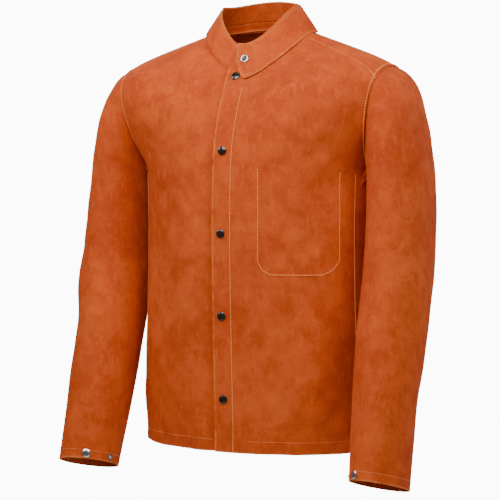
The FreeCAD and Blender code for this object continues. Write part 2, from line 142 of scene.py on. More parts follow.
def hermite(rows, q):
    q = np.asarray(q, float)
    k = np.clip(q.astype(int), 0, len(rows) - 2)
    t = (q - k)[..., None]
    p1, p2 = rows[k], rows[k + 1]
    p0, p3 = rows[np.maximum(k - 1, 0)], rows[np.minimum(k + 2, len(rows) - 1)]
    m1, m2 = (p2 - p0) / 2, (p3 - p1) / 2
    return ((2 * t**3 - 3 * t**2 + 1) * p1 + (t**3 - 2 * t**2 + t) * m1
            + (3 * t**2 - 2 * t**3) * p2 + (t**3 - t**2) * m2)


def point(x, y, z):
    return np.stack(np.broadcast_arrays(x, y, z), axis=-1).astype(float)


def arrays(*values):
    """The values as arrays of one shape."""
    return np.broadcast_arrays(*(np.asarray(value, float) for value in values))


def curve(a, b, c, t):
    """Quadratic curve from a to c, pulled towards b."""
    return a * (1 - t)**2 + b * 2 * t * (1 - t) + c * t * t


def normal_of(surface, u, v, high=1.0):
    step = 1e-3
    du = surface(u + step, v) - surface(u - step, v)
    dv = surface(u, np.minimum(v + step, high)) - surface(u, np.maximum(v - step, 0.0))
    return unit(np.cross(du, dv))


def solve(value, lo, hi, steps=44):
    """Where value(t), which rises with t, crosses zero, for arrays."""
    for _ in range(steps):
        middle = (lo + hi) / 2
        below = value(middle) < 0
        lo, hi = np.where(below, middle, lo), np.where(below, hi, middle)
    return (lo + hi) / 2


def angle_at_x(surface, x, other):
    """The angle, between -90 and 90 degrees, at which a surface has this x."""
    x, other = arrays(x, other)
    end = np.full(x.shape, math.pi / 2)
    return solve(lambda t: surface(t, other)[..., 0] - x, -end, end)


def turned(n, away):
    """Normals turned to the side that away points to."""
    return n * np.sign(np.sum(n * away, axis=-1, keepdims=True))


# ---- torso surface ----------------------------------------------------------------------
def level_at(drop):
    k = np.clip(np.searchsorted(LEVEL_DROPS, drop, side="right") - 1, 0, len(LEVEL_DROPS) - 2)
    q = k + (drop - LEVEL_DROPS[k]) / (LEVEL_DROPS[k + 1] - LEVEL_DROPS[k])
    return hermite(LEVELS, np.maximum(0.0, q))


def neck_ring(theta):
    y = -three_way(theta, NECK_FRONT, 0.5 * (NECK_FRONT + NECK_BACK), NECK_BACK) * np.cos(theta)
    return point(NECK_HALF_WIDTH * np.sin(theta), y,
                 three_way(theta, -NECK_FRONT_DROP, 0.0, NECK_BACK_RISE))


def section(theta, size, z):
    c = np.cos(theta)
    depth = np.where(c > 0, size[..., 1], size[..., 2])
    return point(size[..., 0] * power(np.sin(theta), 2 / SUPER), -depth * power(c, 2 / SUPER), z)


def torso(theta, s):
    """Torso surface: theta from the front centre to the wearer's left, s from the neck to the hem."""
    theta, s = arrays(theta, s)
    drop = mix(CHEST_DROP, LENGTH, np.maximum(s - UPPER_SHARE, 0.0) / (1 - UPPER_SHARE))
    lower = section(theta, level_at(drop), -drop)
    t = np.minimum(s / UPPER_SHARE, 1.0)[..., None]
    start, end = neck_ring(theta), section(theta, level_at(np.full(theta.shape, CHEST_DROP)), -CHEST_DROP)
    out = point(np.sin(theta), -np.cos(theta), 0.0)
    up = point(0.0, 0.0, np.ones(theta.shape))
    one = start + out * three_way(theta, 26, 205, 28)[..., None] \
        + up * three_way(theta, -34, -74, -12)[..., None]
    two = end + out * three_way(theta, 1, 93, 4)[..., None] \
        + up * three_way(theta, 62, 175, 120)[..., None]
    upper = start * (1 - t)**3 + one * 3 * t * (1 - t)**2 + two * 3 * t * t * (1 - t) + end * t**3
    return np.where((s >= UPPER_SHARE)[..., None], lower, upper)


def torso_normal(theta, s):
    return -normal_of(torso, theta, s)


def theta_at_x(x, s):
    return angle_at_x(torso, x, s)


def bow(s):
    """How far the closed placket bows sideways at s."""
    low, high = BOW_SPAN
    return -PLACKET_BOW * np.sin(math.pi * np.clip((s - low) / (high - low), 0.0, 1.0))


def s_at_drop(theta, drop):
    theta, drop = arrays(theta, drop)
    return solve(lambda t: -torso(theta, t)[..., 2] - drop, np.zeros(theta.shape), np.ones(theta.shape))


def under_push(p):
    """How far the right front, or the right collar, is pushed in to lie under the left one."""
    front = np.where(p[..., 1] < 0, 1.0, 0.0)
    return ease((p[..., 0] + 62.0) / 36.0) * front


# ---- armhole and sleeve surface ---------------------------------------------------------
ARM_CENTRE = (SHOULDER_TIP + ARMPIT) / 2
ARM_UP = unit(SHOULDER_TIP - ARMPIT)
ARM_OUT = unit(np.array([ARM_UP[2], 0.0, -ARM_UP[0]]))


def armhole_loop():
    """(angle, radius) of the armhole in its plane: angle 0 is the shoulder and 90 the front."""
    theta = np.linspace(0.15, math.pi - 0.15, 181)[:, None]
    s = np.linspace(0.0, UPPER_SHARE * 1.15, 321)[None, :]
    rel = torso(theta, s) - ARM_CENTRE
    d = rel @ ARM_OUT
    i, j = np.nonzero((d[:, 1:] > 0) != (d[:, :-1] > 0))
    share = (d[i, j] / (d[i, j] - d[i, j + 1]))[:, None]
    hit = mix(rel[i, j], rel[i, j + 1], share)
    up = hit @ ARM_UP
    angle, radius = np.arctan2(-hit[:, 1], up), np.hypot(hit[:, 1], up)
    order = np.argsort(angle)
    return angle[order], radius[order]


LOOP_ANGLE, LOOP_RADIUS = armhole_loop()


def loop_radius(angle):
    return np.interp(angle, LOOP_ANGLE, LOOP_RADIUS, period=2 * math.pi)


def sleeve(angle, q):
    """Left sleeve: angle 0 on the outside, 90 at the front, 180 against the torso; q is the section."""
    angle, q = arrays(angle, q)
    row = hermite(SLEEVE, q)
    inner = point(row[..., 0], row[..., 4], row[..., 1])
    outer = point(row[..., 2], row[..., 4], row[..., 3])
    half = np.linalg.norm(outer - inner, axis=-1) / 2
    tilt = np.radians(row[..., 6])
    front = point(0.0, -np.cos(tilt), np.sin(tilt))
    share = np.where(q < 1.0, (1 - q) ** 2 * (1 + 2 * q), 0.0)
    a = mix(half * np.cos(angle), loop_radius(angle) * np.cos(angle), share)
    b = mix(row[..., 5] * np.sin(angle), loop_radius(angle) * np.sin(angle), share)
    return (inner + outer) / 2 + unit(outer - inner) * a[..., None] + front * b[..., None]


def sleeve_normal(angle, q):
    away = sleeve(angle, q) - (sleeve(0 * angle, q) + sleeve(0 * angle + math.pi, q)) / 2
    return turned(normal_of(sleeve, angle, q, high=CUFF), away)


def cuff_rise(mm):
    return CUFF - mm / FOREARM


# ---- collar surface ---------------------------------------------------------------------
def collar_top(theta):
    y = -three_way(theta, COLLAR_TOP_FRONT, 0.5 * (COLLAR_TOP_FRONT + COLLAR_TOP_BACK),
                   COLLAR_TOP_BACK) * np.cos(theta)
    return point(COLLAR_TOP_HALF_WIDTH * np.sin(theta), y, three_way(theta, *COLLAR_TOP))


def collar(theta, v, front_lap=LEFT_FRONT_LAP):
    """Collar surface: v 0 at the lapped lower edge, 1 at the top edge."""
    theta, v = arrays(theta, v)
    seam = neck_ring(theta)
    slope = unit(torso(theta, 0.06) - seam)
    lift = torso_normal(theta, 0.02)
    lap = three_way(theta, front_lap, COLLAR_LAP, COLLAR_LAP)[..., None]
    low = seam + slope * lap + lift * COLLAR_CLEAR
    knee = seam + lift * (COLLAR_CLEAR + 0.5) + np.array([0.0, 0.0, 6.0])
    return curve(low, knee, collar_top(theta), v[..., None])


def collar_normal(theta, v):
    p = collar(theta, v)
    return turned(normal_of(collar, theta, v), p - point(0.0, COLLAR_MIDDLE, p[..., 2]))


def collar_angle(x, v):
    return angle_at_x(collar, x, v)


def collar_end_x(v):
    (lean, lean_share), (bevel, bevel_share) = COLLAR_SWEEP, COLLAR_CORNER
    return COLLAR_EDGE + lean * ease(1.0 - v / lean_share) \
        + bevel * np.maximum(0.0, 1.0 - v / bevel_share)**2


# ---- the way worn leather settles -------------------------------------------------------
def waves(a, b, terms):
    """A smooth bumpy field: each term is (amplitude, turns per mm of a, of b, phase)."""
    return sum(k * np.sin(2 * math.pi * (a * fa + b * fb) + phase) for k, fa, fb, phase in terms)


ARM_GIRTH = 471.0        # round the sleeve; each wave runs round it a whole number of times
TORSO_GIRTH_RADIUS = 170.0
SECTION_STEP = 88.0      # between two sections of a sleeve
DRAPE = [(1.0, 1 / 150, 1 / 900, 0.4), (0.7, 1 / 96, -1 / 700, 2.1), (0.35, 1 / 240, 1 / 300, 4.4)]
LUMPS = [(0.5, 1 / 61, 1 / 83, 0.3), (0.5, -1 / 47, 1 / 70, 1.9), (0.4, 1 / 90, -1 / 52, 3.3),
         (0.3, 1 / 33, 1 / 41, 5.2)]
ARM_FOLDS = [(1.0, 2 / ARM_GIRTH, 1 / 260, 0.9), (0.7, -2 / ARM_GIRTH, 1 / 170, 2.6),
             (0.35, 3 / ARM_GIRTH, 1 / 130, 4.9)]
ARM_LUMPS = [(0.5, 7 / ARM_GIRTH, 1 / 83, 0.3), (0.5, -9 / ARM_GIRTH, 1 / 70, 1.9),
             (0.4, 5 / ARM_GIRTH, -1 / 62, 3.3)]


def settle_torso(p):
    """Soft drape of the torso, still at the neck, armholes, placket and sides."""
    x, y, z = p[..., 0], p[..., 1], p[..., 2]
    wide, deep = CHEST_RADII
    round_angle = np.arctan2(x / wide, -y / deep)
    girth = round_angle * TORSO_GIRTH_RADIUS
    armhole = -((np.stack([np.abs(x), y, z], -1) - ARM_CENTRE) @ ARM_OUT)
    still = ease((-z - 70.0) / 90.0) * ease((np.abs(x - 8.0) - 34.0) / 60.0 + np.where(y > 0, 1.0, 0.0))
    still = still * mix(ease((armhole - 4.0) / 60.0), 1.0, ease((-z - 240.0) / 70.0))
    side = mix(1.0, 0.15, ease((np.abs(x) - 150.0) / 45.0) * ease((z + 640.0) / 60.0))
    grow = 0.7 + 2.6 * ease((-z - 250.0) / 420.0)
    amount = (waves(girth, z, DRAPE) * grow + waves(girth, z, LUMPS) * 0.9) * still * side
    out = unit(np.stack([x / wide**2, y / deep**2, 0.0 * z], -1))
    return p + out * amount[..., None]


def settle_sleeve(p, n, angle, q):
    """Soft folds of a sleeve, still at the armhole and the cuff."""
    still = ease((q - 0.3) / 1.2) * ease((CUFF - q) / 0.9)
    inside = mix(1.0, 0.25, ease((np.cos(angle + math.pi) - 0.35) / 0.5))
    elbow = np.exp(-((q - 5.9) / 1.1) ** 2)
    front = ease((np.sin(angle) + 0.2) / 1.0)
    girth = (angle % (2 * math.pi)) / (2 * math.pi) * ARM_GIRTH
    down = q * SECTION_STEP
    amount = (waves(girth, down, ARM_FOLDS) * (0.7 + 1.6 * elbow * front)
              + waves(girth, down, ARM_LUMPS) * 0.35) * still * inside
    return p + n * amount[..., None]


# ---- meshes -----------------------------------------------------------------------------
def new_object(name, verts, faces, smooth=True):
    mesh = bpy.data.meshes.new(name)
    mesh.from_pydata(np.asarray(verts, float).tolist(), [], faces)
    mesh.update()
    if smooth:
        mesh.polygons.foreach_set("use_smooth", np.ones(len(mesh.polygons), bool))
    obj = bpy.data.objects.new(name, mesh)
    bpy.context.scene.collection.objects.link(obj)
    return obj


def grid_faces(nu, nv, reverse):
    """Quads of a grid whose points are numbered i * (nv + 1) + j."""
    i, j = np.meshgrid(np.arange(nu), np.arange(nv), indexing="ij")
    a = (i * (nv + 1) + j).ravel()
    quads = np.stack([a, a + nv + 1, a + nv + 2, a + 1], -1)
    return (quads[:, ::-1] if reverse else quads).tolist()


def apply_modifiers(obj):
    graph = bpy.context.evaluated_depsgraph_get()
    mesh = bpy.data.meshes.new_from_object(obj.evaluated_get(graph))
    old = obj.data
    obj.modifiers.clear()
    obj.data = mesh
    mesh.name = obj.name
    bpy.data.meshes.remove(old)


def edge_share(points, free):
    """How near each grid point is to the free sides of its piece: 1 on the edge, 0 well inside."""
    share = np.zeros(points.shape[:2])
    for axis, name in ((0, "u"), (1, "v")):
        steps = np.linalg.norm(np.diff(points, axis=axis), axis=-1)
        zero = np.zeros_like(np.take(steps, [0], axis))
        run = np.cumsum(np.concatenate([zero, steps], axis), axis)
        ends = {name + "0": run, name + "1": np.take(run, [-1], axis) - run}
        for side, distance in ends.items():
            if side in free:
                share = np.maximum(share, np.exp(-distance / EDGE_WEAR))
    return share


def keep_rest(obj):
    """Stores the rest position for the materials."""
    mesh = obj.data
    co = np.empty(len(mesh.vertices) * 3)
    mesh.vertices.foreach_get("co", co)
    mesh.attributes.new("rest", "FLOAT_VECTOR", "POINT").data.foreach_set("vector", co)


def slab(name, points, normals, cuts, thickness, wrap, free):
    """A thin leather slab under a grid of points in mm, trimmed by each (centre, outward, above).

    free lists the sides of the grid that are cut edges: u0, u1, v0, v1."""
    nu, nv = points.shape[0] - 1, points.shape[1] - 1
    middle = (nu // 2, nv // 2)
    du = points[middle[0] + 1, middle[1]] - points[middle]
    dv = points[middle[0], middle[1] + 1] - points[middle]
    faces = grid_faces(nu, nv, float(np.dot(np.cross(du, dv), normals[middle])) < 0)
    flat, worn = points.reshape(-1, 3), edge_share(points, free).ravel()
    if wrap:
        last = nu * (nv + 1)
        faces = [[k - last if k >= last else k for k in f] for f in faces]
        flat, worn = flat[:last], worn[:last]
    obj = new_object(name, flat * MM, faces)
    obj.data.attributes.new("worn", "FLOAT", "POINT").data.foreach_set("value", worn)
    for cut in cuts:
        trim(obj, *cut)
    for material in LEATHER_LOOK:
        obj.data.materials.append(material)
    solid = obj.modifiers.new("thickness", "SOLIDIFY")
    solid.thickness = thickness * MM
    solid.offset = -1.0
    solid.use_rim = True
    solid.material_offset_rim = len(LEATHER_LOOK) - 1
    apply_modifiers(obj)
    obj.data.set_sharp_from_angle(angle=math.radians(50))
    keep_rest(obj)
    return obj


def trim(obj, centre, outward, above):
    """Removes what is outside a plane and above a height, leaving a clean cut."""
    centre, outward = Vector(centre), Vector(outward)
    bm = bmesh.new()
    bm.from_mesh(obj.data)
    bmesh.ops.bisect_plane(bm, geom=bm.verts[:] + bm.edges[:] + bm.faces[:], plane_co=centre * MM,
                           plane_no=outward, dist=1e-6)
    places = [(f, f.calc_center_median() / MM) for f in bm.faces]
    gone = [f for f, c in places if (c - centre).dot(outward) > 0 and c.z > above]
    bmesh.ops.delete(bm, geom=gone, context="FACES")
    bm.to_mesh(obj.data)
    bm.free()


# ---- materials --------------------------------------------------------------------------
class Nodes:
    """A short way to build a node material."""

    def __init__(self, name):
        self.material = bpy.data.materials.new(name)
        self.material.use_nodes = True
        self.tree = self.material.node_tree
        self.tree.nodes.clear()
        self.shader = self.add("ShaderNodeBsdfPrincipled")
        output = self.add("ShaderNodeOutputMaterial")
        self.link(self.shader.outputs["BSDF"], output.inputs["Surface"])

    def add(self, kind, **settings):
        node = self.tree.nodes.new(kind)
        for key, value in settings.items():
            setattr(node, key, value)
        return node

    def link(self, source, target):
        self.tree.links.new(source, target)

    def put(self, target, value):
        if hasattr(value, "is_output"):
            self.link(value, target)
        else:
            target.default_value = value

    def fill(self, node, values):
        for key, value in values.items():
            self.put(node.inputs[key], value)

    def done(self, values):
        """The finished material, with these inputs to its shader."""
        self.fill(self.shader, values)
        return self.material

    def rest(self):
        """The rest position of each point, so that the grain moves with the leather."""
        return self.add("ShaderNodeAttribute", attribute_name="rest").outputs["Vector"]

    def noise(self, where, scale, detail=3.0, rough=0.55, distortion=0.0):
        node = self.add("ShaderNodeTexNoise")
        self.fill(node, {"Vector": where, "Scale": scale, "Detail": detail, "Roughness": rough,
                         "Distortion": distortion})
        return node.outputs["Fac"]

    def ramp(self, value, low, high, to_low=0.0, to_high=1.0):
        node = self.add("ShaderNodeMapRange", interpolation_type="SMOOTHSTEP")
        self.fill(node, {"Value": value, "From Min": low, "From Max": high, "To Min": to_low,
                         "To Max": to_high})
        return node.outputs["Result"]

    def math(self, operation, a, b):
        node = self.add("ShaderNodeMath", operation=operation)
        self.fill(node, {0: a, 1: b})
        return node.outputs[0]

    def blend(self, factor, a, b):
        node = self.add("ShaderNodeMix", data_type="RGBA")
        self.fill(node, {"Factor": factor, 6: a, 7: b})
        return node.outputs[2]

    def bump(self, height, distance, strength, below=None):
        node = self.add("ShaderNodeBump")
        self.fill(node, {"Strength": strength, "Distance": distance, "Height": height})
        if below is not None:
            self.link(below, node.inputs["Normal"])
        return node.outputs["Normal"]


def colour(r, g, b):
    return (r, g, b, 1.0)


def suede(name, base, dark, light, rub):
    """Napped split cowhide: cloudy dye, brushed nap patches, flecks and a fibrous surface."""
    n = Nodes(name)
    where = n.rest()
    clouds = n.noise(where, 7.0, 4.0, 0.6, 0.4)
    nap = n.noise(where, 34.0, 5.0, 0.68, 0.25)
    stretched = n.add("ShaderNodeMapping", vector_type="POINT")
    n.link(where, stretched.inputs["Vector"])
    stretched.inputs["Scale"].default_value = (1.0, 1.0, 0.35)
    brushed = n.noise(stretched.outputs["Vector"], 110.0, 3.0, 0.6)
    flecks = n.noise(where, 330.0, 3.0, 0.72)
    fibres = n.noise(where, 1300.0, 4.0, 0.75)
    worn = n.add("ShaderNodeAttribute", attribute_name="worn").outputs["Fac"]
    scuffed = n.math("MULTIPLY", n.ramp(worn, 0.25, 0.95), n.ramp(n.noise(where, 70.0, 3.0), 0.30, 0.62))
    tint = n.blend(n.ramp(clouds, 0.30, 0.72), dark, light)
    tint = n.blend(0.55, tint, base)
    tint = n.blend(n.ramp(nap, 0.44, 0.66, 0.0, 0.50), tint, dark)
    tint = n.blend(n.ramp(nap, 0.46, 0.30, 0.0, 0.38), tint, light)
    tint = n.blend(n.ramp(brushed, 0.52, 0.70, 0.0, 0.42), tint, light)
    tint = n.blend(n.ramp(flecks, 0.54, 0.76, 0.0, 0.50), tint, light)
    tint = n.blend(n.ramp(flecks, 0.47, 0.24, 0.0, 0.55), tint, dark)
    tint = n.blend(n.math("MULTIPLY", scuffed, 0.75), tint, rub)
    height = n.math("ADD", n.math("MULTIPLY", fibres, 0.35), n.math("MULTIPLY", flecks, 0.65))
    swells = n.math("ADD", n.math("MULTIPLY", nap, 0.6), n.math("MULTIPLY", clouds, 1.2))
    return n.done({"Base Color": tint, "Roughness": n.ramp(nap, 0.3, 0.7, 0.85, 0.97),
                   "Specular IOR Level": 0.18, "Sheen Weight": 0.22, "Sheen Roughness": 0.45,
                   "Sheen Tint": light,
                   "Normal": n.bump(height, 0.0006, 0.7, n.bump(swells, 0.0032, 0.55))})


def cut_edge(name, base, dark):
    """The raw cut edge of the hide: paler, with fibres running through it."""
    n = Nodes(name)
    where = n.rest()
    fibres = n.noise(where, 900.0, 4.0, 0.7, 0.5)
    patches = n.noise(where, 60.0, 3.0)
    tint = n.blend(n.ramp(fibres, 0.35, 0.7), dark, base)
    tint = n.blend(n.ramp(patches, 0.4, 0.7, 0.0, 0.4), tint, dark)
    return n.done({"Base Color": tint, "Roughness": 0.95, "Specular IOR Level": 0.15,
                   "Normal": n.bump(fibres, 0.0004, 0.8)})


def thread(name, base, dark):
    """Twisted sewing thread."""
    n = Nodes(name)
    where = n.rest()
    twist = n.noise(where, 2400.0, 2.0, 0.5)
    wear = n.noise(where, 55.0, 3.0, 0.6)
    tint = n.blend(n.ramp(twist, 0.4, 0.65), dark, base)
    tint = n.blend(n.ramp(wear, 0.45, 0.75, 0.0, 0.45), tint, dark)
    return n.done({"Base Color": tint, "Roughness": 0.62, "Normal": n.bump(twist, 0.0002, 0.8)})


def metal(name, base, dark, rough, metallic, coat=0.0):
    """Plated or enamelled snap metal with fine scuffs and slightly uneven gloss."""
    n = Nodes(name)
    where = n.add("ShaderNodeTexCoord").outputs["Object"]
    scuffs = n.noise(where, 900.0, 5.0, 0.65, 1.2)
    film = n.noise(where, 160.0, 3.0)
    return n.done({"Base Color": n.blend(n.ramp(scuffs, 0.55, 0.75, 0.0, 0.5), base, dark),
                   "Roughness": n.ramp(film, 0.3, 0.75, rough * 0.75, rough * 1.5), "Metallic": metallic,
                   "Coat Weight": coat, "Coat Roughness": 0.08, "Normal": n.bump(scuffs, 0.00012, 0.35)})


BASE = colour(0.590, 0.076, 0.0120)
DARK = colour(0.380, 0.040, 0.0085)
LIGHT = colour(0.710, 0.121, 0.0165)
SUEDE = suede("rust_suede", BASE, DARK, LIGHT, colour(0.78, 0.24, 0.060))
EDGE = cut_edge("suede_cut_edge", colour(0.80, 0.26, 0.060), colour(0.48, 0.12, 0.024))
THREAD = thread("rust_thread", colour(0.98, 0.33, 0.075), colour(0.86, 0.23, 0.045))
BLACK = metal("black_enamel", colour(0.022, 0.013, 0.009), colour(0.05, 0.030, 0.020), 0.18, 0.3, 0.6)
SILVER = metal("nickel_plate", colour(0.78, 0.77, 0.75), colour(0.46, 0.45, 0.43), 0.17, 1.0)
# Dark metal for the hollow centre of the ring snap: painted shade standing in for the shadow down the
# hole
RECESS_SHADE_METAL = metal("snap_recess_painted_shade", colour(0.09, 0.085, 0.08), colour(0.03, 0.03, 0.03), 0.4, 1.0)
LEATHER_LOOK = [SUEDE, EDGE]


# ---- making pieces ----------------------------------------------------------------------
MIRROR = np.array([-1.0, 1.0, 1.0])
SIDES = ("left", "right")


def flip(side):
    return MIRROR if side == "right" else np.ones(3)


def on_side(side, points, normals):
    """What is worked out for the left side, mirrored for the right one."""
    return points * flip(side), normals * flip(side)


def hide_piece(name, skin, body=None, bend=None, nodes=None, cuts=(), thickness=LEATHER, wrap=False,
               free=()):
    """A leather piece: makes its slab from points and normals, hides the nodes it stands for, and hangs
    it on its body or bakes its place.

    It stands for the node of its own name, unless nodes says otherwise."""
    points, normals = skin
    obj = slab(name, points, normals, cuts, thickness, wrap, free)
    nodes = [name] if nodes is None else nodes
    if nodes:
        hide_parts(*nodes)
    if bend:
        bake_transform(obj)
    else:
        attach(obj, body)


def grid(nu, nv):
    return np.meshgrid(np.linspace(0, 1, nu + 1), np.linspace(0, 1, nv + 1), indexing="ij")


# ---- torso pieces -----------------------------------------------------------------------
def soft_torso(theta, s):
    """The torso with the crease at chest height eased out, except beside the armholes."""
    theta, s = arrays(theta, s)
    p = torso(theta, s)
    away = -(np.stack([np.abs(p[..., 0]), p[..., 1], p[..., 2]], -1) - ARM_CENTRE) @ ARM_OUT
    reach = CREASE_REACH * ease((away - 2.0) / 60.0) * np.exp(-((s - UPPER_SHARE) / 0.13)**2)
    total = p * 2.0
    for share, weight in ((1.0, 1.0), (0.5, 2.0)):
        for way in (-1.0, 1.0):
            total = total + weight * torso(theta, np.clip(s + way * share * reach, 0.0, 1.0))
    return total / 8.0


def torso_skin(theta, s, depth=0.0, under=0.0):
    """Settled points of the torso this deep below its skin, and their outward normals."""
    flat, n = soft_torso(theta, s), -normal_of(soft_torso, theta, s)
    inward = depth + under * under_push(flat)
    return settle_torso(flat) - n * (inward[..., None] if np.ndim(inward) else inward), n


def torso_grid(left, right, top, bottom, counts, **place):
    """A patch of torso between two edges, each an angle for every s."""
    u, v = grid(*counts)
    s = mix(top, bottom, v)
    return torso_skin(mix(left(s), right(s), u), s, **place)


def along_x(x):
    return lambda s: theta_at_x(x, s)


def along_bowed(x):
    return lambda s: theta_at_x(x + bow(s), s)


def at_angle(angle):
    """The same angle all along an edge."""
    return lambda s: np.full(np.shape(s), angle)


def along_angle(degrees):
    return at_angle(math.radians(degrees))


LEFT_ARMHOLE = (ARM_CENTRE, ARM_OUT, ARMPIT[2])
RIGHT_ARMHOLE = (ARM_CENTRE * MIRROR, ARM_OUT * MIRROR, ARMPIT[2])
PLACKET_BEND = ("torso", "left_placket", (0, 0, -0.216), (0, 0, -0.326))
SEAM_TUCK = 3.5          # how far the back panel goes under the fronts, in degrees
TUCK_DEPTH = 1.75
ANY_HEIGHT = -1e4
RIGHT_FACING_EDGE, RIGHT_HEM_EDGE = -19.0, -72.0
HEM_END = 0.999          # where folded-in plies stop, just above the cut edge


def tucked_back(counts):
    """The back panel, with its side edges slipped under the fronts."""
    points, n = torso_grid(along_angle(SIDE_SEAM - SEAM_TUCK), along_angle(360 - SIDE_SEAM + SEAM_TUCK),
                           0.0, 1.0, counts)
    u, _ = grid(*counts)
    girth = (360 - 2 * SIDE_SEAM + 2 * SEAM_TUCK) * np.minimum(u, 1 - u)
    return points - n * (TUCK_DEPTH * ease((SEAM_TUCK + 1.6 - girth) / 2.4))[..., None], n


def make_torso():
    hide_piece("back_panel", tucked_back((190, 210)), "torso", cuts=[LEFT_ARMHOLE, RIGHT_ARMHOLE],
               free=("v1",))
    left = torso_grid(along_x(PLACKET_HINGE), along_angle(SIDE_SEAM), 0, 1, (66, 240))
    hide_piece("left_front_panel", left, "torso", cuts=[LEFT_ARMHOLE], free=("u1", "v1"))
    right = torso_grid(along_angle(-SIDE_SEAM), along_x(RIGHT_EDGE), 0, 1, (96, 240), under=UNDER_DEPTH)
    hide_piece("right_front_panel", right, "torso", cuts=[RIGHT_ARMHOLE], free=("u0", "u1", "v1"))
    strip = torso_grid(along_bowed(FRONT_EDGE), along_x(PLACKET_HINGE), 0, 1, (28, 240))
    hide_piece("left_placket", strip, bend=PLACKET_BEND, nodes=["left_placket", "left_placket_top"],
               free=("u0", "v1"))
    facing = torso_grid(along_bowed(FRONT_EDGE + 1), along_bowed(PLACKET_STITCH + 5), 0.04, HEM_END,
                        (14, 160), depth=PLY)
    hide_piece("left_placket_facing", facing, bend=PLACKET_BEND,
               nodes=["left_placket_facing", "left_placket_top_facing"])
    facing = torso_grid(along_x(RIGHT_FACING_EDGE), along_x(RIGHT_EDGE - 1), 0.04, HEM_END, (12, 160),
                        depth=PLY, under=UNDER_DEPTH)
    hide_piece("right_front_facing", facing, "torso")
    low = float(s_at_drop(0.0, LENGTH - HEM_DEPTH))
    for name, left, right, columns in (
            ("back_hem", along_angle(SIDE_SEAM + 2), along_angle(358 - SIDE_SEAM), 150),
            ("left_front_hem", along_x(PLACKET_HINGE + 2), along_angle(SIDE_SEAM - 2), 60),
            ("right_front_hem", along_angle(2 - SIDE_SEAM), along_x(RIGHT_HEM_EDGE), 50)):
        hide_piece(name, torso_grid(left, right, low, HEM_END, (columns, 8), depth=PLY), "torso")


def make_pocket():
    s0, s1 = (float(s_at_drop(math.radians(45), d)) for d in POCKET_DROP)
    cuts = []
    for x, side in ((POCKET_X[0], 1.0), (POCKET_X[1], -1.0)):
        corner = np.array([x, -CHEST_RADII[1], POCKET_CORNER - POCKET_DROP[1]])
        cuts.append((corner, unit(np.array([-side, 0.0, -1.0])), ANY_HEIGHT))
    bag = torso_grid(along_x(POCKET_X[0]), along_x(POCKET_X[1]), s0, s1, (46, 64), depth=POCKET_DEPTH)
    hide_piece("inner_pocket", bag, "torso", cuts=cuts)


# ---- collar pieces ----------------------------------------------------------------------
COLLAR_THICK = 2.0
LINING_THICK = 1.0
LINING_LIFT = -0.65      # from the collar's middle surface to the outside of what lines it
STAND_RISE = (2.5, 7.0)  # of the strip in the neck above the neck edge: at the front, further round
STAND_TOP = (0.26, 0.45)     # how far up the collar it reaches, at the same places
COLLAR_SUNK = 2.6        # how far the right half's lower edge sinks into its seam
COLLAR_SPLIT = math.radians(80)
FACING_START = math.radians(74)
FACING_END = 2 * math.pi - FACING_START
COLLAR_BEND = ("torso", "collar_end", (0.046, 0, 0), (0.017, 0, 0))


def collar_skin(theta, v, front_lap, under=0.0, lift=COLLAR_LIFT, sunk=0.0):
    p, n = collar(theta, v, front_lap), collar_normal(theta, v)
    push = under * under_push(p) + sunk * ease(1.0 - v / 0.22)
    return p + n * (lift - push)[..., None], n


def collar_grid(left, right, counts, front_lap, under=0.0, span=(0.0, 1.0), **place):
    u, v = grid(*counts)
    v = mix(*span, v)
    return collar_skin(mix(left(v), right(v), u), v, front_lap, under, **place)


def neck_stand():
    """Strip that closes the loose left collar to the inside of the neck edge."""
    u, v = grid(60, 10)
    start = float(collar_angle(RIGHT_EDGE + 0.5, 0.3))
    theta = mix(start, COLLAR_SPLIT + 0.06, u)
    rise = ease((theta - start) / 0.4)
    inward = -torso_normal(theta, 0.02)
    low = torso(theta, 0.02) + 2.6 * inward
    middle = neck_ring(theta) + 3.0 * inward + point(0.0, 0.0, mix(*STAND_RISE, rise))
    high, n = collar_skin(theta, mix(*STAND_TOP, rise), LEFT_FRONT_LAP, lift=LINING_LIFT)
    return curve(low, middle, high, v[..., None]), n


def make_collar():
    split = at_angle(COLLAR_SPLIT)
    end = collar_grid(lambda v: collar_angle(collar_end_x(v), v), split, (60, 36), LEFT_FRONT_LAP)
    hide_piece("collar_end", end, bend=COLLAR_BEND, thickness=COLLAR_THICK, free=("u0", "v0", "v1"))
    left = collar_grid(split, at_angle(math.pi), (60, 30), LEFT_FRONT_LAP)
    hide_piece("collar_left", left, "torso", thickness=COLLAR_THICK, free=("v0", "v1"))
    right = collar_grid(at_angle(-math.pi), lambda v: collar_angle(RIGHT_EDGE, v), (120, 34),
                        RIGHT_FRONT_LAP, COLLAR_UNDER, sunk=COLLAR_SUNK)
    hide_piece("collar_right", right, "torso", thickness=COLLAR_THICK, free=("u1", "v1"))
    facing = collar_grid(at_angle(FACING_START), at_angle(FACING_END), (130, 14), COLLAR_LAP,
                         span=(0.5, 0.985), lift=LINING_LIFT)
    tape = collar_grid(at_angle(COLLAR_SPLIT + 0.02), at_angle(FACING_END), (170, 10), LEFT_FRONT_LAP,
                       span=(-0.10, 0.44), lift=LINING_LIFT, sunk=COLLAR_SUNK)
    for name, skin in (("collar_facing", facing), ("neck_tape", tape), ("neck_stand", neck_stand())):
        hide_piece(name, skin, "torso", nodes=[], thickness=LINING_THICK)


# ---- sleeve pieces ----------------------------------------------------------------------
def sleeve_skin(angle, q, depth=0.0):
    n = sleeve_normal(angle, np.maximum(q, 0.0))
    flat = sleeve(angle, q)
    tuck = 1.9 * ease((0.30 - q) / 0.22)
    return settle_sleeve(flat, n, angle, q) - n * (depth + tuck)[..., None], n


def sleeve_grid(q0, q1, counts, side, depth=0.0):
    u, v = grid(*counts)
    return on_side(side, *sleeve_skin(math.pi + u * 2 * math.pi, mix(q0, q1, v), depth))


